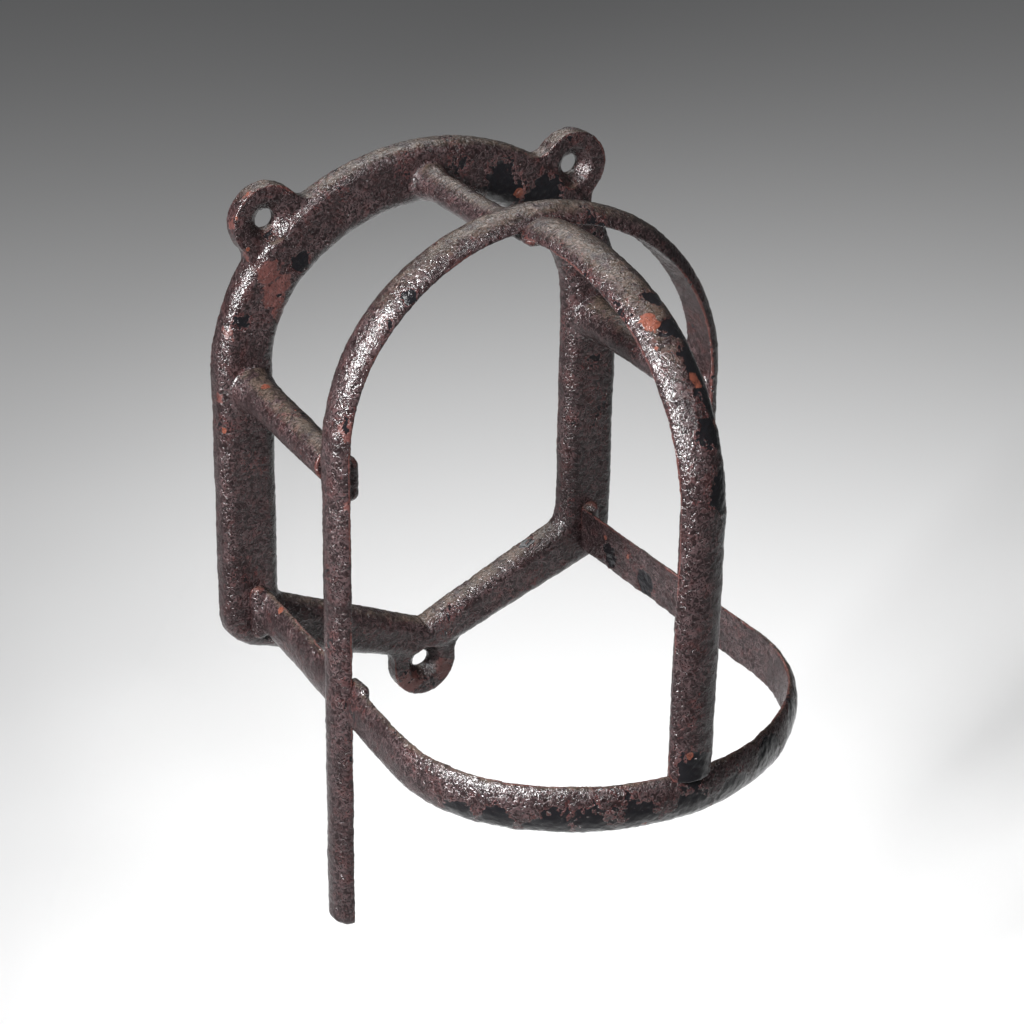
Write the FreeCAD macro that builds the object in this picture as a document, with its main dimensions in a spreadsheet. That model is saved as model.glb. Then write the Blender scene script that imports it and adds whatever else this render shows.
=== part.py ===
import FreeCAD, Part
import math
import os
import Sketcher
from FreeCAD import Placement, Rotation, Vector

# A wall rack for stable tack: an iron ring frame, a hoop with two long legs, a horn and a level loop.
# Frame: millimetres, +X to the right, +Y into the wall, +Z up. The origin is the axis of the lower
# screw hole where it meets the wall, so the wall is the plane y = 0 and the rack stands out along -Y.

# Alias, value in millimetres. Heights are above the lower screw hole.
SIZES = [
    # ring frame, a casting with a flat back
    ("ring_half_width", 97.0),
    ("ring_spring_height", 157.5),
    ("ring_rise", 86.0),
    ("ring_side_radius", 80.5),
    ("ring_bar_width", 26.0),
    ("ring_depth", 10.2),
    ("ring_corner_height", 48.5),
    ("ring_vertex_height", 1.5),
    ("ring_corner_radius", 18.0),
    ("ring_inner_corner_height", 57.0),
    ("ring_inner_vertex_height", 21.0),
    ("ring_inner_corner_radius", 7.0),
    ("ring_outer_edge_radius", 5.5),
    ("ring_inner_edge_radius", 7.0),
    # screw lugs on the ring
    ("lug_radius", 15.7),
    ("lug_depth", 8.0),
    ("lug_half_spacing", 72.0),
    ("lug_height", 221.5),
    ("lug_neck_radius", 8.0),
    ("screw_hole_radius", 4.1),
    ("countersink_radius", 8.7),
    # hoop of half-round bar, with its flat side inwards
    ("hoop_half_width", 83.7),
    ("hoop_spring_height", 155.5),
    ("hoop_rise", 80.0),
    ("hoop_side_radius", 78.0),
    ("hoop_leg_end_height", -58.5),
    ("hoop_stand_off", 88.7),
    ("hoop_bar_half_width", 9.0),
    ("hoop_bar_thickness", 7.3),
    ("hoop_end_radius", 3.2),
    # level loop of half-round bar, with its flat side inwards
    ("loop_half_width", 84.0),
    ("loop_root_half_width", 78.5),
    ("loop_spring_reach", 139.5),
    ("loop_rise", 70.5),
    ("loop_side_radius", 62.0),
    ("loop_root_height", 50.0),
    ("loop_root_stand_off", 3.0),
    ("loop_fall_angle", 1.77),
    ("loop_bar_half_height", 10.6),
    ("loop_bar_thickness", 5.0),
    # horn of half-round bar, with its flat side down and then towards the wall
    ("horn_crest_reach", 117.6),
    ("horn_half_width", 92.2),
    ("horn_past_crest", 20.6),
    ("horn_spring_height", 158.6),
    ("horn_rise", 75.8),
    ("horn_side_radius", 71.7),
    ("horn_foot_height", 52.0),
    ("horn_bar_half_width", 9.9),
    ("horn_bar_thickness", 7.2),
    # raised roots of the struts, which start inside the ring and end in front of it
    ("root_start", 3.0),
    ("root_end", 19.2),
    ("root_flare", 3.5),
    # round struts, from the ring to the hoop
    ("crown_strut_root_height", 227.4),
    ("crown_strut_root_radius", 6.3),
    ("crown_strut_middle_reach", 60.0),
    ("crown_strut_middle_height", 226.8),
    ("crown_strut_middle_radius", 6.7),
    ("crown_strut_end_reach", 82.0),
    ("crown_strut_end_height", 231.3),
    ("crown_strut_end_radius", 4.6),
    ("side_strut_root_half_spacing", 82.6),
    ("side_strut_root_height", 151.8),
    ("side_strut_root_radius", 8.1),
    ("side_strut_end_reach", 81.0),
    ("side_strut_end_half_spacing", 83.6),
    ("side_strut_end_height", 147.8),
    ("side_strut_end_radius", 7.0),
    # raised roots of the loop's arms
    ("arm_root_half_spacing", 83.3),
    ("arm_root_height", 25.0),
    ("arm_root_width", 7.6),
    ("arm_root_length", 12.5),
    ("arm_root_edge_radius", 3.6),
    # lumps of metal where the bars meet
    ("strut_lump_half_spacing", 81.2),
    ("strut_lump_middle_height", 145.3),
    ("strut_lump_height", 19.0),
    ("strut_lump_width", 7.0),
    ("strut_lump_length", 13.5),
    ("strut_lump_edge_radius", 3.4),
    ("arm_lump_half_spacing", 82.2),
    ("arm_lump_middle_height", 54.6),
    ("arm_lump_stand_off", 93.0),
    ("arm_lump_height", 9.4),
    ("arm_lump_width", 5.0),
    ("arm_lump_length", 12.0),
    ("crown_lump_middle_height", 233.0),
    ("crown_lump_stand_off", 82.0),
    ("crown_lump_height", 7.0),
    ("crown_lump_width", 16.0),
    ("crown_lump_length", 19.0),
    ("lump_edge_radius", 2.0),
]

doc = FreeCAD.newDocument("tack_rack")
sheet = doc.addObject("Spreadsheet::Sheet", "sizes")


def fill_sheet():
    """Write each size to column B and its alias to column A."""
    for row, (alias, value) in enumerate(SIZES, start=1):
        sheet.set(f"A{row}", alias)
        sheet.set(f"B{row}", str(value))
        sheet.setAlias(f"B{row}", alias)
    doc.recompute()


def size(alias):
    return float(sheet.get(alias))


def bind(target, name, formula):
    """Bind a property or a sketch constraint to sheet cells, written as [alias] in the formula."""
    target.setExpression(name, formula.replace("[", "<<sizes>>.").replace("]", ""))


def new_body(label):
    body = doc.addObject("PartDesign::Body", label)
    body.Label = label
    return body


def plane_of(body, role):
    return next(item for item in body.Origin.OriginFeatures if item.Role == role)


def new_sketch(body, name, role):
    sketch = body.newObject("Sketcher::SketchObject", name)
    sketch.AttachmentSupport = [(plane_of(body, role), "")]
    sketch.MapMode = "FlatFace"
    return sketch


def add_dimension(sketch, name, formula, *constraint):
    """Add a dimension with a name, and bind it to the sheet."""
    index = sketch.addConstraint(Sketcher.Constraint(*constraint))
    sketch.renameConstraint(index, name)
    bind(sketch, f"Constraints.{name}", formula)


def solved(sketch):
    doc.recompute()
    if sketch.solve() != 0:
        raise RuntimeError(f"{sketch.Name} is over-constrained or has no solution")
    return sketch


def arc(centre_x, centre_y, radius, start, end):
    """An arc of a circle, counter-clockwise between two angles in radians."""
    circle = Part.Circle(Vector(centre_x, centre_y, 0), Vector(0, 0, 1), radius)
    return Part.ArcOfCircle(circle, start, end)


def segment(x1, y1, x2, y2):
    return Part.LineSegment(Vector(x1, y1, 0), Vector(x2, y2, 0))


def crown_depth(half_width, rise, side_radius):
    """How far the centre of the crown arc of a three-centred arch lies below its springing."""
    across = half_width - side_radius
    up = rise - side_radius
    return (across**2 - up**2) / (2 * up)


def crown_radius(half_width, rise, side_radius):
    return rise + crown_depth(half_width, rise, side_radius)


def tangent_angle(vertex_height, centre_x, centre_y, radius):
    """The slope of the line from a vertex on the vertical axis that touches a circle from below."""
    up = centre_y - vertex_height
    return math.atan2(up, centre_x) - math.asin(radius / math.hypot(centre_x, up))


def ring_sketch(body):
    """The right half of the ring's face: arched above, a shallow V below, rounded at the corner."""
    sketch = new_sketch(body, "RingFace", "XZ_Plane")
    bar = size("ring_bar_width")
    a, spring = size("ring_half_width"), size("ring_spring_height")
    b, r = size("ring_rise"), size("ring_side_radius")
    depth = crown_depth(a, b, r)
    lean = math.pi / 2 - math.atan2(a - r, depth)
    crown = b + depth
    middle = spring - depth
    low, inner_low = size("ring_vertex_height"), size("ring_inner_vertex_height")
    corner, inner_corner = size("ring_corner_radius"), size("ring_inner_corner_radius")
    corner_z, inner_z = size("ring_corner_height"), size("ring_inner_corner_height")
    slope = tangent_angle(low, a - corner, corner_z, corner)
    inner_slope = tangent_angle(inner_low, a - bar - inner_corner, inner_z, inner_corner)
    quarter = math.pi / 2
    outer_touch = (a - corner + corner * math.sin(slope), corner_z - corner * math.cos(slope))
    inner_touch = (
        a - bar - inner_corner + inner_corner * math.sin(inner_slope),
        inner_z - inner_corner * math.cos(inner_slope),
    )
    outline = [
        segment(0, low, *outer_touch),
        arc(a - corner, corner_z, corner, slope - quarter, 0),
        segment(a, corner_z, a, spring),
        arc(a - r, spring, r, 0, lean),
        arc(0, middle, crown, lean, quarter),
        segment(0, middle + crown, 0, middle + crown - bar),
        arc(0, middle, crown - bar, lean, quarter),
        arc(a - r, spring, r - bar, 0, lean),
        segment(a - bar, spring, a - bar, inner_z),
        arc(a - bar - inner_corner, inner_z, inner_corner, inner_slope - quarter, 0),
        segment(*inner_touch, 0, inner_low),
        segment(0, inner_low, 0, low),
    ]
    sketch.addGeometry(outline, False)
    # pairs of (element, end point) that meet smoothly
    for one, one_end, two, two_end in [
        (0, 2, 1, 1), (1, 2, 2, 1), (2, 2, 3, 1), (3, 2, 4, 1),
        (6, 1, 7, 2), (7, 1, 8, 1), (8, 2, 9, 2), (9, 1, 10, 1),
    ]:
        sketch.addConstraint(Sketcher.Constraint("Tangent", one, one_end, two, two_end))
    for one, one_end, two, two_end in [
        (4, 2, 5, 1), (5, 2, 6, 2), (10, 2, 11, 1), (11, 2, 0, 1), (6, 3, 4, 3), (7, 3, 3, 3),
    ]:
        sketch.addConstraint(Sketcher.Constraint("Coincident", one, one_end, two, two_end))
    for element, end in [(5, 1), (5, 2), (11, 1), (11, 2), (4, 3)]:
        sketch.addConstraint(Sketcher.Constraint("PointOnObject", element, end, -2))
    sketch.addConstraint(Sketcher.Constraint("Vertical", 2))
    sketch.addConstraint(Sketcher.Constraint("Vertical", 8))
    add_dimension(sketch, "HalfWidth", "[ring_half_width]", "DistanceX", -1, 1, 2, 1, a)
    add_dimension(sketch, "Spring", "[ring_spring_height]", "DistanceY", -1, 1, 3, 3, spring)
    add_dimension(sketch, "Side", "[ring_side_radius]", "Radius", 3, r)
    add_dimension(
        sketch, "Top", "[ring_spring_height] + [ring_rise]", "DistanceY", -1, 1, 5, 1, spring + b
    )
    add_dimension(sketch, "Bar", "[ring_bar_width]", "DistanceY", 5, 2, 5, 1, bar)
    add_dimension(sketch, "Vertex", "[ring_vertex_height]", "DistanceY", -1, 1, 0, 1, low)
    add_dimension(sketch, "Corner", "[ring_corner_radius]", "Radius", 1, corner)
    add_dimension(sketch, "CornerHeight", "[ring_corner_height]", "DistanceY", -1, 1, 1, 3, corner_z)
    add_dimension(
        sketch, "InnerVertex", "[ring_inner_vertex_height]", "DistanceY", -1, 1, 11, 1, inner_low
    )
    add_dimension(sketch, "InnerCorner", "[ring_inner_corner_radius]", "Radius", 9, inner_corner)
    add_dimension(
        sketch, "InnerCornerHeight", "[ring_inner_corner_height]", "DistanceY", -1, 1, 9, 3, inner_z
    )
    return solved(sketch)


def neck_centre(lug, lug_radius, circle, circle_radius, neck_radius, side):
    """The centre of an arc that touches a lug and a circle from outside, both as (x, z) centres."""
    gap_x, gap_z = lug[0] - circle[0], lug[1] - circle[1]
    span = math.hypot(gap_x, gap_z)
    far, near = circle_radius + neck_radius, lug_radius + neck_radius
    along = (span**2 + far**2 - near**2) / (2 * span)
    across = side * math.sqrt(far**2 - along**2)
    unit_x, unit_z = gap_x / span, gap_z / span
    return (
        circle[0] + along * unit_x - across * unit_z,
        circle[1] + along * unit_z + across * unit_x,
    )


def touch_point(centre, other, distance):
    """The point at a distance from one centre towards another."""
    span = math.hypot(other[0] - centre[0], other[1] - centre[1])
    step = distance / span
    return centre[0] + step * (other[0] - centre[0]), centre[1] + step * (other[1] - centre[1])


def heading(centre, point):
    return math.atan2(point[1] - centre[1], point[0] - centre[0])


def lug_sketch(body, name, lug, lug_formulas, necks, ends):
    """A lug's face: its round rim, two hollow necks, and a chord buried in the ring's bar.

    The necks are two arcs, given by their centres and by where they run into the ring, the one
    further round the rim first.
    """
    sketch = new_sketch(body, name, "XZ_Plane")
    rim, neck = size("lug_radius"), size("lug_neck_radius")
    rim_one, rim_two = (touch_point(lug, centre, rim) for centre in necks)
    one, two = necks
    sketch.addGeometry(
        [
            arc(*lug, rim, heading(lug, rim_two), heading(lug, rim_one)),
            arc(*one, neck, heading(one, ends[0]), heading(one, rim_one)),
            segment(*ends[0], *ends[1]),
            arc(*two, neck, heading(two, rim_two), heading(two, ends[1])),
        ],
        False,
    )
    sketch.addConstraint(Sketcher.Constraint("Tangent", 0, 2, 1, 2))
    sketch.addConstraint(Sketcher.Constraint("Tangent", 3, 1, 0, 1))
    sketch.addConstraint(Sketcher.Constraint("Coincident", 1, 1, 2, 1))
    sketch.addConstraint(Sketcher.Constraint("Coincident", 2, 2, 3, 2))
    add_dimension(sketch, "Rim", "[lug_radius]", "Radius", 0, rim)
    add_dimension(sketch, "NeckOne", "[lug_neck_radius]", "Radius", 1, neck)
    add_dimension(sketch, "NeckTwo", "[lug_neck_radius]", "Radius", 3, neck)
    if lug_formulas:
        add_dimension(sketch, "Across", lug_formulas[0], "DistanceX", -1, 1, 0, 3, lug[0])
        add_dimension(sketch, "Height", lug_formulas[1], "DistanceY", -1, 1, 0, 3, lug[1])
    else:
        sketch.addConstraint(Sketcher.Constraint("Coincident", 0, 3, -1, 1))
    return solved(sketch)


def circle_sketch(body, name, stand_off, circles):
    """Circles on a plane parallel to the wall, each given as formulas for its x, z and radius."""
    sketch = new_sketch(body, name, "XZ_Plane")
    bind(sketch, "AttachmentOffset.Base.z", stand_off)
    for number, formulas in enumerate(circles):
        circle = Part.Circle(Vector(50 * number, 50 * number, 0), Vector(0, 0, 1), 5)
        sketch.addGeometry(circle, False)
        add_dimension(sketch, f"Radius{number}", formulas[2], "Radius", number, 5)
        for axis, other, formula in (("DistanceX", -2, formulas[0]), ("DistanceY", -1, formulas[1])):
            if formula:
                add_dimension(sketch, f"{axis}{number}", formula, axis, -1, 1, number, 3, 1)
            else:
                sketch.addConstraint(Sketcher.Constraint("PointOnObject", number, 3, other))
    return solved(sketch)


def add_pad(body, name, sketch, length):
    pad = body.newObject("PartDesign::Pad", name)
    pad.Profile = sketch
    bind(pad, "Length", length)
    body.Tip = pad
    doc.recompute()
    return pad


def add_pocket(body, name, sketch, length):
    """A pocket that starts in front of the wall plane and cuts back towards it."""
    pocket = body.newObject("PartDesign::Pocket", name)
    pocket.Profile = sketch
    bind(pocket, "Length", length)
    body.Tip = pocket
    doc.recompute()
    return pocket


def mirror_across_middle(body, name, originals):
    """Repeat features on the other side of the plane x = 0, and make that the body's result."""
    mirror = body.newObject("PartDesign::Mirrored", name)
    mirror.Originals = originals
    mirror.MirrorPlane = (plane_of(body, "YZ_Plane"), [""])
    body.Tip = mirror
    doc.recompute()
    return mirror


def add_fillet(body, name, base, wanted, radius):
    names = [f"Edge{i}" for i, edge in enumerate(base.Shape.Edges, start=1) if wanted(edge)]
    fillet = body.newObject("PartDesign::Fillet", name)
    fillet.Base = (base, names)
    bind(fillet, "Radius", radius)
    body.Tip = fillet
    doc.recompute()
    return fillet


def round_front_edge(body, name, base, outer, radius):
    """Round the outside, or the opening, of the face that is furthest from the wall."""
    front = min(base.Shape.Faces, key=lambda face: face.CenterOfMass.y)
    wires = [wire for wire in front.Wires if wire.isSame(front.OuterWire) == outer]
    edges = [edge for wire in wires for edge in wire.Edges]
    return add_fillet(
        body, name, base, lambda edge: any(edge.isSame(each) for each in edges), radius
    )


def ring_circles():
    """The centres and radii of the ring's side arc and crown arc, on the right."""
    a, b, r = size("ring_half_width"), size("ring_rise"), size("ring_side_radius")
    spring = size("ring_spring_height")
    depth = crown_depth(a, b, r)
    return ((a - r, spring), r), ((0.0, spring - depth), b + depth)


def ring_slope():
    """The slope of the ring's lower edge, which touches the rounded corner."""
    corner = size("ring_corner_radius")
    across = size("ring_half_width") - corner
    return tangent_angle(size("ring_vertex_height"), across, size("ring_corner_height"), corner)


def add_lugs(body):
    """Three round lugs, with necks that meet the ring where its crest is as deep as they are."""
    crest, depth = size("ring_outer_edge_radius"), size("lug_depth")
    drop = size("ring_depth") - depth
    inset = crest - math.sqrt(crest**2 - (crest - drop) ** 2)
    rim, neck = size("lug_radius"), size("lug_neck_radius")

    (side_centre, side), (crown_centre, crown) = ring_circles()
    lug = (size("lug_half_spacing"), size("lug_height"))
    one = neck_centre(lug, rim, crown_centre, crown - inset, neck, 1)
    two = neck_centre(lug, rim, side_centre, side - inset, neck, -1)
    ends = (touch_point(one, crown_centre, neck), touch_point(two, side_centre, neck))
    formulas = ("[lug_half_spacing]", "[lug_height]")
    upper = add_pad(
        body, "UpperLug", lug_sketch(body, "UpperLugFace", lug, formulas, (one, two), ends),
        "[lug_depth]",
    )
    mirror_across_middle(body, "UpperLugs", [upper])

    slope = ring_slope()
    fall = size("ring_vertex_height") * math.cos(slope) + inset - neck
    turn = slope + math.asin(fall / (rim + neck))
    x, z = (rim + neck) * math.cos(turn), (rim + neck) * math.sin(turn)
    end_x, end_z = x - neck * math.sin(slope), z + neck * math.cos(slope)
    necks, ends = ((x, z), (-x, z)), ((end_x, end_z), (-end_x, end_z))
    add_pad(
        body, "LowerLug", lug_sketch(body, "LowerLugFace", (0.0, 0.0), None, necks, ends),
        "[lug_depth]",
    )


def screw_positions():
    across, height = "[lug_half_spacing]", "[lug_height]"
    return [(None, None), (across, height), (f"-{across}", height)]


def add_screw_holes(body):
    """Holes right through, and dished countersinks that are also clear of the ring in front of them."""
    holes = [(*at, "[screw_hole_radius]") for at in screw_positions()]
    sinks = [(*at, "[countersink_radius]") for at in screw_positions()]
    front = "[ring_depth] + 1"
    volumes = [body.Shape.Volume]
    add_pocket(
        body, "ScrewHoles", circle_sketch(body, "HoleCircles", front, holes), "[ring_depth] + 2"
    )
    volumes.append(body.Shape.Volume)
    add_pocket(
        body, "HeadRoom", circle_sketch(body, "HeadCircles", front, sinks),
        "[ring_depth] + 1 - [lug_depth]",
    )
    volumes.append(body.Shape.Volume)
    cones = add_pocket(
        body, "Countersinks", circle_sketch(body, "SinkCircles", "[lug_depth]", sinks),
        "[countersink_radius] - [screw_hole_radius]",
    )
    cones.TaperAngle = -45
    doc.recompute()
    volumes.append(body.Shape.Volume)
    removed = [round(before - after, 1) for before, after in zip(volumes, volumes[1:])]
    print("screw holes, head room and countersinks remove", removed)


def make_back_frame():
    """The casting: a ring with a flat back and three countersunk screw lugs."""
    body = new_body("back_frame")
    ring = add_pad(body, "Ring", ring_sketch(body), "[ring_depth]")
    whole = mirror_across_middle(body, "WholeRing", [ring])
    inner = round_front_edge(body, "InnerEdge", whole, False, "[ring_inner_edge_radius]")
    round_front_edge(body, "OuterEdge", inner, True, "[ring_outer_edge_radius]")
    add_lugs(body)
    add_screw_holes(body)
    return body


def half_round(body, name, role, offset, bar, centre, turn=0):
    """A half-round bar's section: half an ellipse closed by its flat.

    The bar is the names of its half width and thickness. The middle of the flat lies at the centre,
    two pairs of a value and its formula, and the round side faces the sketch's +X. The turn, in
    degrees, turns the sketch in its own plane.
    """
    sketch = new_sketch(body, name, role)
    sketch.AttachmentOffset = Placement(Vector(0, 0, 0), Rotation(Vector(0, 0, 1), turn))
    bind(sketch, "AttachmentOffset.Base.z", offset)
    wide, thick = size(bar[0]), size(bar[1])
    (x, x_formula), (y, y_formula) = centre
    middle = Vector(x, y, 0)
    ellipse = Part.Ellipse(middle - Vector(0, wide, 0), middle + Vector(thick, 0, 0), middle)
    sketch.addGeometry(Part.ArcOfEllipse(ellipse, 0, math.pi), False)
    sketch.exposeInternalGeometry(0)
    long_axis, short_axis = 1, 2
    flat = sketch.addGeometry(segment(x, y - wide, x, y + wide), False)
    for end in (1, 2):
        sketch.addConstraint(Sketcher.Constraint("Coincident", 0, end, long_axis, end))
        sketch.addConstraint(Sketcher.Constraint("Coincident", flat, end, 0, end))
    sketch.addConstraint(Sketcher.Constraint("Vertical", long_axis))
    add_dimension(sketch, "Width", f"2 * [{bar[0]}]", "Distance", long_axis, 2 * wide)
    add_dimension(sketch, "Thickness", f"2 * [{bar[1]}]", "Distance", short_axis, 2 * thick)
    add_dimension(sketch, "CentreX", x_formula, "DistanceX", -1, 1, 0, 3, x)
    add_dimension(sketch, "CentreY", y_formula, "DistanceY", -1, 1, 0, 3, y)
    return solved(sketch)


def arch_path(body, name, role, arch, start, side=1, past=None):
    """A bar's path: a straight leg, then half a three-centred arch over the sketch's vertical axis.

    The arch is the names of its half width, springing, rise and side radius, and the start of the
    leg two names. A side of -1 draws the left half. The crown may run on past the middle.
    """
    sketch = new_sketch(body, name, role)
    a, spring, b, r = (size(alias) for alias in arch)
    x, y = size(start[0]), size(start[1])
    crown, centre_x = crown_radius(a, b, r), a - r
    centre_y = spring + b - crown
    lean = math.atan2(centre_x, spring - centre_y)
    touch = math.atan2(y - spring, x - centre_x) + math.acos(r / math.hypot(x - centre_x, y - spring))
    past_angle = math.asin(size(past[0]) / crown) if past else 0.0
    half, quarter = math.pi, math.pi / 2
    touch_x, touch_y = centre_x + r * math.cos(touch), spring + r * math.sin(touch)
    leg = segment(side * x, y, side * touch_x, touch_y)
    if side > 0:
        arcs = [
            arc(centre_x, spring, r, touch, quarter - lean),
            arc(0, centre_y, crown, quarter - lean, quarter + past_angle),
        ]
    else:
        arcs = [
            arc(-centre_x, spring, r, quarter + lean, half - touch),
            arc(0, centre_y, crown, quarter - past_angle, quarter + lean),
        ]
    sketch.addGeometry([leg, *arcs], False)
    near, far = (1, 2) if side > 0 else (2, 1)
    sketch.addConstraint(Sketcher.Constraint("Tangent", 0, 2, 1, near))
    sketch.addConstraint(Sketcher.Constraint("Tangent", 1, far, 2, near))
    sketch.addConstraint(Sketcher.Constraint("PointOnObject", 2, 3, -2))
    sign = "" if side > 0 else "-"
    half_width, springing, rise, side_radius = (f"[{alias}]" for alias in arch)
    depth = (
        f"(({half_width} - {side_radius})^2 - ({rise} - {side_radius})^2)"
        f" / (2 * ({rise} - {side_radius}))"
    )
    add_dimension(sketch, "SideRadius", side_radius, "Radius", 1, r)
    add_dimension(sketch, "CrownRadius", f"{rise} + {depth}", "Radius", 2, crown)
    add_dimension(
        sketch, "SideCentre", f"{sign}({half_width} - {side_radius})", "DistanceX", -1, 1, 1, 3,
        side * centre_x,
    )
    add_dimension(sketch, "Springing", springing, "DistanceY", -1, 1, 1, 3, spring)
    add_dimension(sketch, "StartX", f"{sign}[{start[0]}]", "DistanceX", -1, 1, 0, 1, side * x)
    add_dimension(sketch, "StartY", f"[{start[1]}]", "DistanceY", -1, 1, 0, 1, y)
    if past:
        add_dimension(sketch, "Past", past[1], "DistanceX", -1, 1, 2, far, size(past[0]))
    else:
        sketch.addConstraint(Sketcher.Constraint("PointOnObject", 2, far, -2))
    return sketch


def add_sweep(body, name, section, path):
    pipe = body.newObject("PartDesign::AdditivePipe", name)
    pipe.Profile = section
    pipe.Spine = path
    body.Tip = pipe
    doc.recompute()
    return pipe


def make_hoop():
    """The upright hoop: two straight legs under a high arch."""
    body = new_body("arch_hoop")
    section = half_round(
        body, "LegSection", "XY_Plane", "[hoop_leg_end_height]",
        ("hoop_bar_half_width", "hoop_bar_thickness"),
        (
            (size("hoop_half_width"), "[hoop_half_width]"),
            (-size("hoop_stand_off"), "-[hoop_stand_off]"),
        ),
    )
    path = arch_path(
        body, "HoopPath", "XZ_Plane",
        ("hoop_half_width", "hoop_spring_height", "hoop_rise", "hoop_side_radius"),
        ("hoop_half_width", "hoop_leg_end_height"),
    )
    bind(path, "AttachmentOffset.Base.z", "[hoop_stand_off]")
    half = add_sweep(body, "HalfHoop", section, solved(path))
    whole = mirror_across_middle(body, "WholeHoop", [half])
    end = size("hoop_leg_end_height")
    add_fillet(
        body, "LegEnds", whole, lambda edge: edge.BoundBox.ZMax < end + 1e-4, "[hoop_end_radius]"
    )
    return body


def make_loop():
    """The loop that stands out from the ring's lower corners, falling a little towards its front."""
    body = new_body("loop_bar_uncut")
    section = half_round(
        body, "ArmSection", "XZ_Plane", "[loop_root_stand_off]",
        ("loop_bar_half_height", "loop_bar_thickness"),
        (
            (size("loop_root_half_width"), "[loop_root_half_width]"),
            (size("loop_root_height"), "[loop_root_height]"),
        ),
    )
    path = arch_path(
        body, "LoopPath", "XY_Plane",
        ("loop_half_width", "loop_spring_reach", "loop_rise", "loop_side_radius"),
        ("loop_root_half_width", "loop_root_stand_off"),
    )
    path.AttachmentOffset = Placement(Vector(0, 0, 0), Rotation(Vector(1, 0, 0), 180))
    bind(path, "AttachmentOffset.Base.z", "[loop_root_height]")
    bind(path, "AttachmentOffset.Rotation.Angle", "180 + [loop_fall_angle]")
    half = add_sweep(body, "HalfLoop", section, solved(path))
    mirror_across_middle(body, "WholeLoop", [half])
    return body


def make_horn():
    """The horn: out from the hoop's crown, over in a curve and straight down to the loop."""
    body = new_body("horn_bar_uncut")
    section = half_round(
        body, "FootSection", "XY_Plane", "[horn_foot_height]",
        ("horn_bar_half_width", "horn_bar_thickness"),
        (
            (size("horn_crest_reach") + size("horn_half_width"), "[horn_crest_reach] + [horn_half_width]"),
            (0, "0"),
        ),
        turn=-90,
    )
    path = arch_path(
        body, "HornPath", "YZ_Plane",
        ("horn_half_width", "horn_spring_height", "horn_rise", "horn_side_radius"),
        ("horn_half_width", "horn_foot_height"), side=-1,
        past=("horn_past_crest", "[horn_past_crest]"),
    )
    bind(path, "AttachmentOffset.Base.x", "-[horn_crest_reach]")
    add_sweep(body, "Horn", section, solved(path))
    return body


def make_strut(label, circles):
    """A round strut through circles parallel to the wall, each a stand-off, x, z and radius."""
    body = new_body(label)
    sections = [
        circle_sketch(body, f"Circle{number}", circle[0], [circle[1:]])
        for number, circle in enumerate(circles)
    ]
    loft = body.newObject("PartDesign::AdditiveLoft", "Taper")
    loft.Profile = sections[0]
    loft.Sections = [(section, [""]) for section in sections[1:]]
    loft.Ruled = True
    body.Tip = loft
    doc.recompute()
    return body


def make_lump(label, middle, spans, edge_radius="lump_edge_radius"):
    """A block with rounded edges, where bars meet.

    The middle is formulas for x and z and for how far from the wall the block starts, and the spans
    are its width, height and length aliases.
    """
    body = new_body(label)
    sketch = new_sketch(body, "Face", "XZ_Plane")
    bind(sketch, "AttachmentOffset.Base.z", middle[2])
    wide, high = size(spans[0]), size(spans[1])
    corners = [(-wide, -high), (wide, -high), (wide, high), (-wide, high)]
    sides = [segment(*corners[n], *corners[(n + 1) % 4]) for n in range(4)]
    sketch.addGeometry(sides, False)
    centre = sketch.addGeometry(Part.Point(Vector(0, 0, 0)), True)
    for n in range(4):
        sketch.addConstraint(Sketcher.Constraint("Coincident", n, 2, (n + 1) % 4, 1))
        sketch.addConstraint(Sketcher.Constraint("Vertical" if n % 2 else "Horizontal", n))
    sketch.addConstraint(Sketcher.Constraint("Symmetric", 0, 1, 1, 2, centre, 1))
    add_dimension(sketch, "Width", f"[{spans[0]}]", "DistanceX", 0, 1, 0, 2, wide)
    add_dimension(sketch, "Height", f"[{spans[1]}]", "DistanceY", 1, 1, 1, 2, high)
    add_dimension(sketch, "MiddleX", middle[0], "DistanceX", -1, 1, centre, 1, 1)
    add_dimension(sketch, "MiddleZ", middle[1], "DistanceY", -1, 1, centre, 1, 1)
    pad = add_pad(body, "Block", solved(sketch), f"[{spans[2]}]")
    add_fillet(body, "Rounded", pad, lambda edge: True, f"[{edge_radius}]")
    return body


def cut_to_fit(label, base, tools):
    """What is left of a body once the pieces that it meets are cut from it."""
    tool = tools[0]
    if len(tools) > 1:
        tool = doc.addObject("Part::MultiFuse", f"{label}_tools")
        tool.Shapes = tools
    cut = doc.addObject("Part::Cut", label)
    cut.Label = label
    cut.Base = base
    cut.Tool = tool
    doc.recompute()
    return cut


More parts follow.
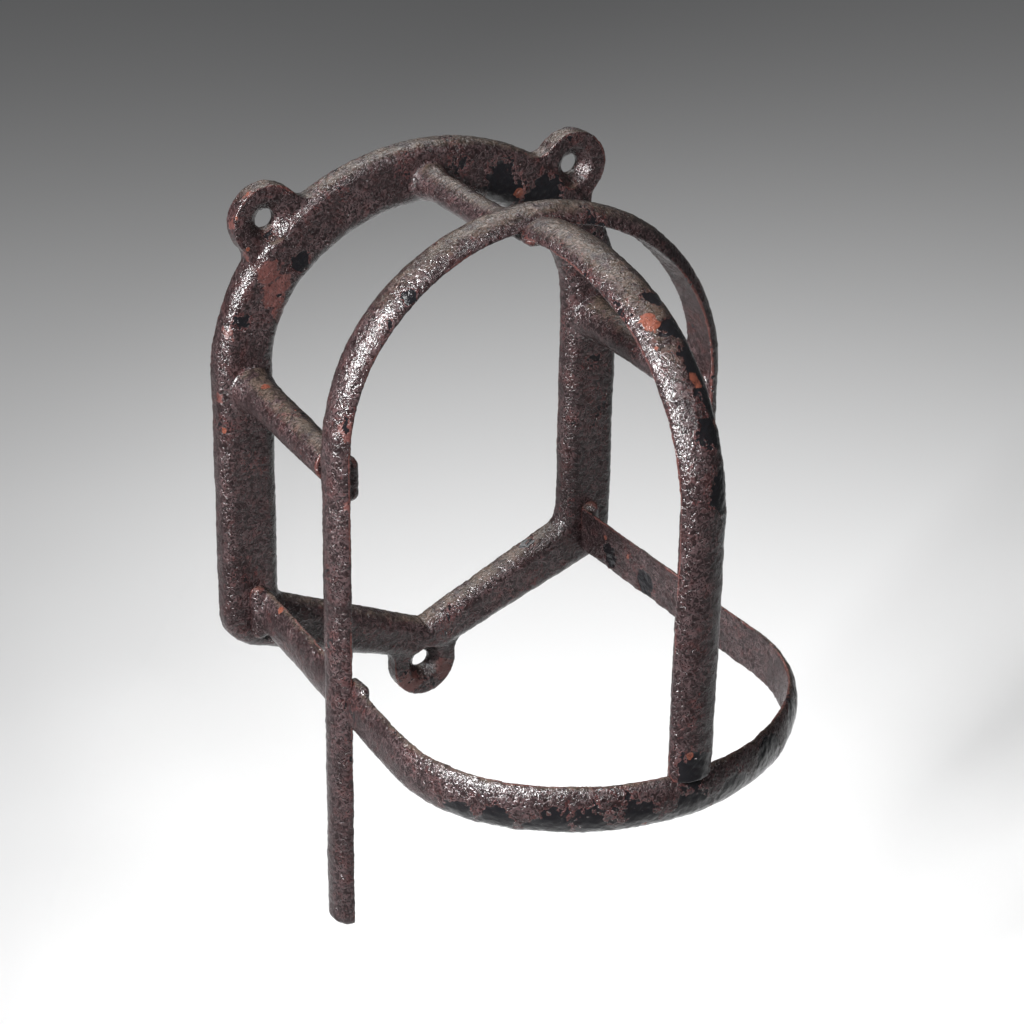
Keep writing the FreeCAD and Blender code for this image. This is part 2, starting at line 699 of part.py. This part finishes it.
def make_struts(ring, hoop):
    """The three struts between the ring and the hoop."""
    flare = "[root_flare]"
    crown_root = "[crown_strut_root_height]"
    crown = make_strut("crown_strut_uncut", [
        ("[root_start]", None, crown_root, f"[crown_strut_root_radius] + {flare}"),
        ("[root_end]", None, crown_root, "[crown_strut_root_radius]"),
        (
            "[crown_strut_middle_reach]", None, "[crown_strut_middle_height]",
            "[crown_strut_middle_radius]",
        ),
        ("[crown_strut_end_reach]", None, "[crown_strut_end_height]", "[crown_strut_end_radius]"),
    ])
    struts = [cut_to_fit("crown_strut", crown, [ring, hoop])]
    for side, sign in (("left", "-"), ("right", "")):
        root_x, root_z = f"{sign}[side_strut_root_half_spacing]", "[side_strut_root_height]"
        strut = make_strut(f"{side}_strut_uncut", [
            ("[root_start]", root_x, root_z, f"[side_strut_root_radius] + {flare}"),
            ("[root_end]", root_x, root_z, "[side_strut_root_radius]"),
            (
                "[side_strut_end_reach]", f"{sign}[side_strut_end_half_spacing]",
                "[side_strut_end_height]", "[side_strut_end_radius]",
            ),
        ])
        struts.append(cut_to_fit(f"{side}_strut", strut, [ring, hoop]))
    return struts


def make_lumps(ring, hoop, loop, horn):
    """The arms' raised roots and the lumps at the hoop's joints with struts, arms and horn."""
    lumps = []
    for side, sign in (("left", "-"), ("right", "")):
        arm_root = make_lump(
            f"{side}_arm_root_uncut",
            (f"{sign}[arm_root_half_spacing]", "[loop_root_height]", "[root_start]"),
            ("arm_root_width", "arm_root_height", "arm_root_length"), "arm_root_edge_radius",
        )
        lumps.append(cut_to_fit(f"{side}_arm_root", arm_root, [ring, loop]))
        strut_lump = make_lump(
            f"{side}_strut_lump_uncut",
            (f"{sign}[strut_lump_half_spacing]", "[strut_lump_middle_height]", "[side_strut_end_reach]"),
            ("strut_lump_width", "strut_lump_height", "strut_lump_length"), "strut_lump_edge_radius",
        )
        lumps.append(cut_to_fit(f"{side}_strut_lump", strut_lump, [hoop]))
        arm_lump = make_lump(
            f"{side}_arm_lump_uncut",
            (f"{sign}[arm_lump_half_spacing]", "[arm_lump_middle_height]", "[arm_lump_stand_off]"),
            ("arm_lump_width", "arm_lump_height", "arm_lump_length"),
        )
        lumps.append(cut_to_fit(f"{side}_arm_lump", arm_lump, [hoop, loop]))
    crown_lump = make_lump(
        "crown_lump_uncut",
        ("0", "[crown_lump_middle_height]", "[crown_lump_stand_off]"),
        ("crown_lump_width", "crown_lump_height", "crown_lump_length"),
    )
    lumps.append(cut_to_fit("crown_lump", crown_lump, [hoop, horn]))
    return lumps


def write_steps(pieces):
    """Check every object of the document and every piece, then write the pieces."""
    for item in doc.Objects:
        if "Invalid" in item.State or "Error" in item.State:
            raise RuntimeError(f"{item.Name} failed: {item.State}")
    os.makedirs("parts", exist_ok=True)
    for piece in pieces:
        shape = piece.Shape
        if shape.isNull() or not shape.isValid() or len(shape.Solids) != 1:
            raise RuntimeError(f"{piece.Label} is not one valid solid: {len(shape.Solids)} solids")
        print(piece.Label, round(shape.Volume, 1), shape.optimalBoundingBox())
        shape.exportStep(f"parts/{piece.Label}.step")


fill_sheet()
back_frame = make_back_frame()
arch_hoop = make_hoop()
loop_bar = cut_to_fit("loop_bar", make_loop(), [arch_hoop, back_frame])
horn_bar = cut_to_fit("horn_bar", make_horn(), [arch_hoop, loop_bar])
struts = make_struts(back_frame, arch_hoop)
lumps = make_lumps(back_frame, arch_hoop, loop_bar, horn_bar)
write_steps([back_frame, arch_hoop, loop_bar, horn_bar, *struts, *lumps])
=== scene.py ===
import math

import bpy
import numpy as np
from mathutils import Matrix, Vector, noise


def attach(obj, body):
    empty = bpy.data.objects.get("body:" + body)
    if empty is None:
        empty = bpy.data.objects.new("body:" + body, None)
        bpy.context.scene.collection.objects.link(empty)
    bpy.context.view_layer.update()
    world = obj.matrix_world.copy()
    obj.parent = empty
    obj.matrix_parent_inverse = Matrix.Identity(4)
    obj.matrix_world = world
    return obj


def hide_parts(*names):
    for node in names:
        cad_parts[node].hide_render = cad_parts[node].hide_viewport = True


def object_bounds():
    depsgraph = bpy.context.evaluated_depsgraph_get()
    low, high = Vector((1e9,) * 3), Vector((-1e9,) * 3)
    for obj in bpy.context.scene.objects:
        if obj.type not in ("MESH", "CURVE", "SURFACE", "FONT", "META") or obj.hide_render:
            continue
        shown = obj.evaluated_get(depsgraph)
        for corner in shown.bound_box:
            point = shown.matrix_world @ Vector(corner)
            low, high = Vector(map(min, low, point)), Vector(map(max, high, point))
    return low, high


# An old painted iron tack rack. The frame is in metres: +X right, +Y into the wall, +Z up, with its
# origin on the lower screw hole.
MM = 0.001

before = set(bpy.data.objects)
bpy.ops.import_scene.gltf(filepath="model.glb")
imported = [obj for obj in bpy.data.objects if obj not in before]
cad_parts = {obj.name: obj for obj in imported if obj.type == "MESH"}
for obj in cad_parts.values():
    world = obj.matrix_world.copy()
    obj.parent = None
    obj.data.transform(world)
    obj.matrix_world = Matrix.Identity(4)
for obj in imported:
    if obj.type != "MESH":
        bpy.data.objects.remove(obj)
cad_low, cad_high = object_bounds()

# ---------------------------------------------------------------- camera

CAMERA_PLACE = (-0.5015, -0.8907, 0.5792)
CAMERA_YAW = math.radians(31.71)
CAMERA_PITCH = math.radians(-26.36)
CAMERA_ROLL = math.radians(1.14)
CAMERA_LENS_MM = 91.35
SENSOR_WIDTH_MM = 36.0
CLIP_START, CLIP_END = 0.05, 50.0


def make_camera():
    """A camera that looks along its yaw and pitch, with a slight roll."""
    forward = Vector((
        math.sin(CAMERA_YAW) * math.cos(CAMERA_PITCH),
        math.cos(CAMERA_YAW) * math.cos(CAMERA_PITCH),
        math.sin(CAMERA_PITCH),
    ))
    right = forward.cross(Vector((0, 0, 1))).normalized()
    up = right.cross(forward)
    rolled_right = math.cos(CAMERA_ROLL) * right + math.sin(CAMERA_ROLL) * up
    rolled_up = math.cos(CAMERA_ROLL) * up - math.sin(CAMERA_ROLL) * right
    turn = Matrix((rolled_right, rolled_up, -forward)).transposed()
    data = bpy.data.cameras.new("camera")
    data.lens = CAMERA_LENS_MM
    data.sensor_width = SENSOR_WIDTH_MM
    data.clip_start, data.clip_end = CLIP_START, CLIP_END
    camera = bpy.data.objects.new("camera", data)
    camera.matrix_world = Matrix.Translation(CAMERA_PLACE) @ turn.to_4x4()
    bpy.context.collection.objects.link(camera)
    bpy.context.scene.camera = camera


make_camera()
bpy.context.scene.view_settings.view_transform = "Standard"

# ---------------------------------------------------------------- paint shader

# Colours, linear
# the darkest brown is both the dark coat and painted shade in the hollows of the wrinkles; the
# lightest brown is painted highlight on their crests
DARK_COAT_AND_SHADE = (0.006, 0.0032, 0.0034, 1)
LIGHT_COAT_AND_HIGHLIGHT = (0.048, 0.031, 0.032, 1)
RED_COAT = (0.078, 0.022, 0.020, 1)
BLACK_COAT_AND_SHADE = (0.0050, 0.0050, 0.0060, 1)
RED_OXIDE = (0.078, 0.027, 0.023, 1)
ORANGE_CHIP = (0.105, 0.033, 0.021, 1)
DUST = (0.135, 0.112, 0.075, 1)

# Scales of the noises in the paint, in cycles per metre
WRINKLE_SCALE, GRAIN_SCALE = 620.0, 1600.0
BLOTCH_SCALE, TINT_SCALE, RAGGED_SCALE = 75.0, 160.0, 420.0
GRAIN_SHARE = 0.25  # of the grain in the paint's crests
RAGGED_HEIGHT = 0.80  # how much the edges of marks wander

BUMP_DISTANCE = 0.0007
SPECULAR_LEVEL = 0.45
PAINT_IOR = 1.52


class Nodes:
    """Short ways to add and join the nodes of one material."""

    def __init__(self, name):
        self.material = bpy.data.materials.new(name)
        self.material.use_nodes = True
        self.tree = self.material.node_tree
        self.shader = self.tree.nodes["Principled BSDF"]

    def add(self, kind, inputs=None, **settings):
        node = self.tree.nodes.new(kind)
        for key, value in settings.items():
            setattr(node, key, value)
        for key, value in (inputs or {}).items():
            self.join(value, node.inputs[key])
        return node

    def join(self, value, socket):
        if isinstance(value, bpy.types.NodeSocket):
            self.tree.links.new(value, socket)
        else:
            socket.default_value = value

    def noise(self, scale, detail=3.0, rough=0.55, warp=0.0, where=None):
        inputs = {"Scale": scale, "Detail": detail, "Roughness": rough, "Distortion": warp}
        if where is not None:
            inputs["Vector"] = where
        return self.add("ShaderNodeTexNoise", inputs).outputs["Fac"]

    def step(self, value, low, high):
        """0 below low, 1 above high and smooth between them."""
        node = self.add(
            "ShaderNodeMapRange", {"Value": value, "From Min": low, "From Max": high},
            interpolation_type="SMOOTHSTEP",
        )
        return node.outputs["Result"]

    def math(self, operation, a, b=0.0):
        return self.add("ShaderNodeMath", {0: a, 1: b}, operation=operation).outputs[0]

    def plus(self, a, b, share=1.0):
        """a and a share of b."""
        return self.math("ADD", a, self.math("MULTIPLY", b, share))

    def mix(self, share, a, b):
        """The colour a, or b where the share is 1."""
        return self.add("ShaderNodeMix", {0: share, 6: a, 7: b}, data_type="RGBA").outputs[2]

    def blend(self, share, a, b):
        """The number a, or b where the share is 1."""
        return self.add("ShaderNodeMix", {0: share, 2: a, 3: b}, data_type="FLOAT").outputs[0]

    def field(self, name):
        """A value that the mesh holds at its vertices."""
        return self.add("ShaderNodeAttribute", attribute_name=name).outputs["Fac"]


def make_paint():
    """Old wrinkled brown paint over glossy black, worn to red oxide and orange primer, with painted
    highlight and shade on its wrinkles and black painted shade in places.
    """
    n = Nodes("old_paint")
    where = n.add("ShaderNodeTexCoord").outputs["Object"]
    normal = n.add("ShaderNodeNewGeometry").outputs["Normal"]
    up = n.add("ShaderNodeSeparateXYZ", {0: normal}).outputs["Z"]

    wrinkle = n.noise(WRINKLE_SCALE, detail=2.0, rough=0.6, warp=1.2, where=where)
    grain = n.noise(GRAIN_SCALE, detail=1.5, where=where)
    crest = n.blend(GRAIN_SHARE, wrinkle, grain)
    blotch = n.noise(BLOTCH_SCALE, detail=4.0, rough=0.62, where=where)
    tint = n.noise(TINT_SCALE, detail=3.0, rough=0.6, warp=0.5, where=where)
    uneven = n.noise(RAGGED_SCALE, detail=4.0, where=where)
    ragged = n.math("MULTIPLY", n.math("SUBTRACT", uneven, 0.5), RAGGED_HEIGHT)

    # where each kind of wear shows, with black painted shade along with the flaking, 0 to 1, with
    # ragged borders
    flaked_and_shaded = n.step(n.math("ADD", n.field("flake_and_shade"), ragged), 0.49, 0.53)
    rim = n.step(n.math("ADD", n.field("flake_and_shade"), ragged), 0.42, 0.50)
    worn = n.step(n.math("ADD", n.field("wear"), ragged), 0.50, 0.60)
    edge = n.step(n.plus(n.field("edge"), ragged, 0.8), 0.52, 0.70)
    chipped = n.step(n.plus(n.field("chip"), ragged, 0.9), 0.50, 0.56)

    # the brown coat, lighter on the crests of its wrinkles as painted highlight and darker in their
    # hollows as painted shade, with dust on its upper sides
    brown = n.mix(n.step(crest, 0.36, 0.68), DARK_COAT_AND_SHADE, LIGHT_COAT_AND_HIGHLIGHT)
    brown = n.mix(n.math("MULTIPLY", n.step(blotch, 0.40, 0.62), 0.45), brown, DARK_COAT_AND_SHADE)
    brown = n.mix(n.math("MULTIPLY", n.step(tint, 0.50, 0.70), 0.16), brown, RED_COAT)
    dusty = n.math("MULTIPLY", n.step(up, 0.55, 1.0), n.step(tint, 0.30, 0.60))
    brown = n.mix(n.math("MULTIPLY", dusty, 0.22), brown, DUST)

    # the wear on top of it, black that is partly flaking and partly painted shade, and painted
    # shade in the hollows of the wrinkles through everything
    colour = n.mix(n.math("MULTIPLY", rim, 0.45), brown, RED_COAT)
    colour = n.mix(n.math("MULTIPLY", edge, 0.62), colour, RED_OXIDE)
    colour = n.mix(n.math("MULTIPLY", worn, 0.75), colour, RED_OXIDE)
    colour = n.mix(flaked_and_shaded, colour, BLACK_COAT_AND_SHADE)
    colour = n.mix(chipped, colour, ORANGE_CHIP)
    # painted shade: up to half way to the dark coat in the hollows of the wrinkles
    hollow_shade = n.math("SUBTRACT", 0.5, n.math("MULTIPLY", n.step(crest, 0.34, 0.54), 0.5))
    colour = n.mix(hollow_shade, colour, DARK_COAT_AND_SHADE)
    n.join(colour, n.shader.inputs["Base Color"])

    rough = n.plus(0.11, grain, 0.16)
    rough = n.plus(rough, worn, 0.15)
    gloss = n.plus(0.08, grain, 0.10)
    n.join(n.blend(flaked_and_shaded, rough, gloss), n.shader.inputs["Roughness"])
    n.shader.inputs["Specular IOR Level"].default_value = SPECULAR_LEVEL
    n.shader.inputs["IOR"].default_value = PAINT_IOR

    wrinkled = n.math("SUBTRACT", 1.0, n.math("MULTIPLY", flaked_and_shaded, 0.65))
    height = n.math("MULTIPLY", crest, wrinkled)
    bump = n.add(
        "ShaderNodeBump", {"Strength": 1.0, "Distance": BUMP_DISTANCE, "Height": height}
    )
    n.join(bump.outputs["Normal"], n.shader.inputs["Normal"])
    return n.material


# ---------------------------------------------------------------- bars

VOXEL = 0.55 * MM
SMOOTH_FACTOR, SMOOTH_STEPS = 0.5, 7
INSET = 0.15 * MM  # keeps most of the uneven surface inside the CAD solids
BEND_STEPS = 4  # rounds of averaging of the surface's bend
SEED_STEP = np.array([17.3, 5.1, 9.7])  # from one seed's noise to the next

# Marks on the paint: a place in millimetres and a radius.
ORANGE_CHIPS = [
    ((-4, -177, 226), 4.0),  # on the horn's crest
    ((-6, -185, 219), 1.3),
    ((3, -196, 209), 3.0),
    ((8, -206, 196), 2.4),
    ((-4, -216, 64), 1.5),  # at the horn's foot
    ((-96, -9, 136), 1.7),  # on the ring
    ((43, -10, 215), 1.8),
    ((-82, -29, 59), 1.4),  # on the left arm
    ((-82, -47, 157), 1.2),  # on the left strut
    ((-84, -24, 160), 1.8),
    ((-82, -8, 212), 1.1),  # round the left lug
    ((-87, -8, 226), 1.1),
    ((-81, -6, 235), 1.3),
    ((-50, -204, 35), 1.5),  # under the loop's front
    ((-20, -212, 35), 1.6),
    ((79, -30, 53), 1.4),  # inside the right arm
    ((80, -47, 51), 1.5),
    ((10, -212, 36), 1.5),
]
RED_PATCHES = [
    ((-75, -10, 201), 5.5),  # a vee on the ring, below the left lug
    ((-73, -10, 192), 5.5),
    ((-68, -9, 183), 4.5),
    ((-68, -10, 196), 4.0),
    ((-92, -8, 178), 3.5),  # on the ring's outer ridge
    ((-96, -7, 150), 3.0),
    ((-82, -6, 236), 3.5),  # the left lug's rim
    ((-88, -6, 222), 3.5),
    ((-84, -6, 208), 4.0),
    ((-9, -6, -9), 6.0),  # the lower lug
    ((10, -7, -5), 5.0),
    ((-84, -97, 168), 4.0),  # the hoop's left leg
    ((-84, -97, 136), 3.5),
    ((43, -10, 216), 4.0),
    ((7, -200, 203), 6.0),  # down the horn's right side
    ((9, -212, 178), 5.0),
]
# Black where the coat has flaked, and black painted shade: down the horn's right side and beside
# the ring's outer ridge it is painted shade, and along the lower edge of the loop's front it is
# partly flaking and partly painted shade.
BLACK_FLAKES_AND_SHADE = [
    ((-60, -10, 204), 4.0),  # on the ring, beside the vee
    # painted shade beside the ring's outer ridge
    ((-86, -9, 182), 4.0),
    ((34, -10, 219), 11.0),  # on the ring's crown
    ((56, -10, 211), 9.0),
    ((-58, -97, 217), 3.5),  # on the hoop's left shoulder
    ((4, -168, 231), 6.0),  # round the chips on the horn's crest
    ((5, -180, 223), 6.5),
    ((9, -188, 214), 9.5),  # down the horn's right side, black painted shade on its shaded side
    ((10, -199, 204), 10.5),
    ((10, -208, 191), 10.5),
    ((10, -214, 174), 10.0),
    ((10, -216, 155), 8.0),
    ((0, -217, 57), 8.5),  # the horn's foot
    ((-79, -172, 38), 6.5),  # along the lower edge of the loop's front, partly flaking and partly painted shade
    ((-70, -185, 37), 8.0),
    ((-55, -197, 36), 9.5),
    ((-38, -207, 36), 9.5),
    ((-20, -212, 36), 9.5),
    ((0, -215, 36), 9.5),
    ((22, -212, 38), 10.0),
    ((44, -204, 41), 10.5),
    ((64, -188, 43), 10.5),
    ((79, -34, 45), 6.0),  # the right arm
    ((81, -60, 44), 6.5),
]


def weld(name, nodes):
    """One closed mesh from the solids of some CAD nodes, with the creases between them filled."""
    verts, faces = [], []
    for node in nodes:
        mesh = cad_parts[node].data
        first = len(verts)
        verts += [vertex.co.copy() for vertex in mesh.vertices]
        faces += [[first + i for i in polygon.vertices] for polygon in mesh.polygons]
    mesh = bpy.data.meshes.new(name)
    mesh.from_pydata(verts, [], faces)
    piece = bpy.data.objects.new(name, mesh)
    bpy.context.collection.objects.link(piece)
    remesh = piece.modifiers.new("remesh", "REMESH")
    remesh.mode = "VOXEL"
    remesh.voxel_size = VOXEL
    smooth = piece.modifiers.new("smooth", "SMOOTH")
    smooth.factor = SMOOTH_FACTOR
    smooth.iterations = SMOOTH_STEPS
    apply_modifiers(piece)
    return piece


def apply_modifiers(piece):
    graph = bpy.context.evaluated_depsgraph_get()
    graph.update()
    mesh = bpy.data.meshes.new_from_object(piece.evaluated_get(graph))
    piece.modifiers.clear()
    piece.data = mesh


def read(items, name, width, kind=np.float32):
    """A property of every item of a mesh, as rows."""
    values = np.empty(width * len(items), dtype=kind)
    items.foreach_get(name, values)
    return values.reshape(-1, width)


def noise_field(points, wavelength, seed, octaves=1):
    """Smooth noise from about -1 to 1 at each point, with its own offset for each seed."""
    places = points / wavelength + SEED_STEP * seed
    if octaves == 1:
        return np.array([noise.noise(place) for place in places.tolist()])
    return np.array([noise.fractal(place, 1.0, 2.0, octaves) for place in places.tolist()])


def smooth_step(values, low, high):
    t = np.clip((values - low) / (high - low), 0.0, 1.0)
    return t * t * (3 - 2 * t)


def marks(points, spots):
    """1 in the middle of each spot, 0 on its edge and down to -1 well away from all of them."""
    found = np.full(len(points), -1.0)
    for place, radius in spots:
        away = np.linalg.norm(points - np.array(place) * MM, axis=1)
        found = np.maximum(found, 1 - away / (radius * MM))
    return found


def neighbour_mean(values, edges):
    """The mean of each row's neighbours along the mesh's edges."""
    ends = np.concatenate([edges[:, 0], edges[:, 1]])
    others = np.concatenate([edges[:, 1], edges[:, 0]])
    count = np.bincount(ends, minlength=len(values))
    columns = [
        np.bincount(ends, weights=column[others], minlength=len(values)) / count
        for column in values.T
    ]
    return np.stack(columns, axis=1)


def sharpness(points, normals, edges):
    """How tightly the surface bends outwards at each vertex, in units of 1 / millimetre."""
    sag = ((points - neighbour_mean(points, edges)) * normals).sum(axis=1)
    bend = sag[:, None] / (VOXEL * VOXEL) * 4 * MM
    for _ in range(BEND_STEPS):
        bend = neighbour_mean(bend, edges)
    return bend[:, 0]


def store(mesh, name, values):
    attribute = mesh.attributes.new(name, "FLOAT", "POINT")
    attribute.data.foreach_set("value", values.astype(np.float32))


def age(piece):
    """Give a bar the uneven surface of old iron under wrinkled, flaking paint."""
    mesh = piece.data
    points = read(mesh.vertices, "co", 3).astype(np.float64)
    normals = read(mesh.vertex_normals, "vector", 3).astype(np.float64)
    edges = read(mesh.edges, "vertices", 2, np.int32)

    # how worn the paint is at each vertex, and where black painted shade goes
    rough_patches = noise_field(points, 15 * MM, 3, octaves=4)
    flecks = noise_field(points, 9 * MM, 5, octaves=2)
    flake_and_shade = 0.5 + 0.5 * np.maximum(marks(points, BLACK_FLAKES_AND_SHADE), -0.45) + 0.30 * rough_patches
    flake_and_shade += 0.06 * smooth_step(-normals[:, 2], 0.2, 0.9)  # a little more black on undersides, as painted shade
    wear = 0.5 + 0.4 * np.maximum(marks(points, RED_PATCHES), -0.55) + 0.26 * rough_patches
    chip = 0.5 + 0.5 * np.maximum(marks(points, ORANGE_CHIPS), -0.75) + 0.25 * flecks
    bend = sharpness(points, normals, edges)
    patchy = 0.62 + 0.5 * noise_field(points, 22 * MM, 7, octaves=3)
    edge = smooth_step(bend, 0.20, 0.38) * patchy
    for name, values in [("flake_and_shade", flake_and_shade), ("wear", wear), ("chip", chip), ("edge", edge)]:
        store(mesh, name, values)

    # the uneven surface itself
    swell = 0.36 * MM * noise_field(points, 26 * MM, 1)
    swell += 0.20 * MM * noise_field(points, 8 * MM, 2)
    peel = 0.20 * MM * noise_field(points, 2.4 * MM, 6, octaves=2)
    step = -0.20 * MM * smooth_step(flake_and_shade, 0.47, 0.55)
    offset = swell + peel + step - INSET
    points = points + normals * offset[:, None]
    points = np.clip(points, np.array(cad_low), np.array(cad_high))
    mesh.vertices.foreach_set("co", points.ravel())
    mesh.update()
    mesh.shade_smooth()


PIECES = {
    "frame_casting": ["back_frame", "crown_strut", "left_strut", "right_strut"],
    "hoop": ["arch_hoop", "crown_lump", "left_strut_lump", "right_strut_lump"],
    "loop": ["loop_bar", "left_arm_root", "right_arm_root", "left_arm_lump", "right_arm_lump"],
    "horn": ["horn_bar"],
}


def make_pieces():
    paint = make_paint()
    for name, nodes in PIECES.items():
        piece = weld(name, nodes)
        age(piece)
        piece.data.materials.clear()
        piece.data.materials.append(paint)
        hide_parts(*nodes)
        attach(piece, "root")


make_pieces()

# ---------------------------------------------------------------- floor and lights

FLOOR_DROP = 0.30
FLOOR_SIZE = 24.0
FLOOR_GREYS = (0.78, 0.78, 0.78, 1), (0.80, 0.80, 0.80, 1)
FLOOR_ROUGHNESS = 0.9
WORLD_COLOUR = (0.97, 0.98, 1.0, 1)
WORLD_STRENGTH = 0.09


def make_floor():
    """A plain pale floor, well below the rack, which hangs clear of it."""
    bpy.ops.mesh.primitive_plane_add(size=FLOOR_SIZE, location=(0, 0, cad_low.z - FLOOR_DROP))
    floor = bpy.context.object
    floor.name = "floor"
    n = Nodes("floor")
    where = n.add("ShaderNodeTexCoord").outputs["Object"]
    shade = n.mix(n.noise(3.0, where=where), *FLOOR_GREYS)
    n.join(shade, n.shader.inputs["Base Color"])
    n.shader.inputs["Roughness"].default_value = FLOOR_ROUGHNESS
    floor.data.materials.append(n.material)


def add_light(name, place, target, width, height, watts, spread):
    """A soft rectangular light that faces a target, its beam as wide as its spread in degrees."""
    data = bpy.data.lights.new(name, "AREA")
    data.spread = math.radians(spread)
    data.shape = "RECTANGLE"
    data.size, data.size_y = width, height
    data.energy = watts
    light = bpy.data.objects.new(name, data)
    light.location = place
    light.rotation_mode = "QUATERNION"
    light.rotation_quaternion = (Vector(target) - Vector(place)).to_track_quat("-Z", "Y")
    bpy.context.collection.objects.link(light)


def make_lights():
    world = bpy.data.worlds.new("studio")
    bpy.context.scene.world = world
    world.use_nodes = True
    back = world.node_tree.nodes["Background"]
    back.inputs["Color"].default_value = WORLD_COLOUR
    back.inputs["Strength"].default_value = WORLD_STRENGTH
    middle = (cad_low + cad_high) / 2
    add_light(
        "key", place=(-1.0, -0.45, 0.68), target=middle,
        width=0.22, height=0.34, watts=6.4, spread=56,
    )
    add_light(
        "front", place=(-0.15, -1.05, 1.05), target=middle,
        width=0.30, height=0.22, watts=0.75, spread=50,
    )
    # behind the rack, for the pale floor and a rim of light on the bars
    add_light(
        "above", place=(0.12, 0.50, 0.84), target=(0.14, 0.60, 0),
        width=0.6, height=0.6, watts=6.2, spread=150,
    )


make_floor()
make_lights()
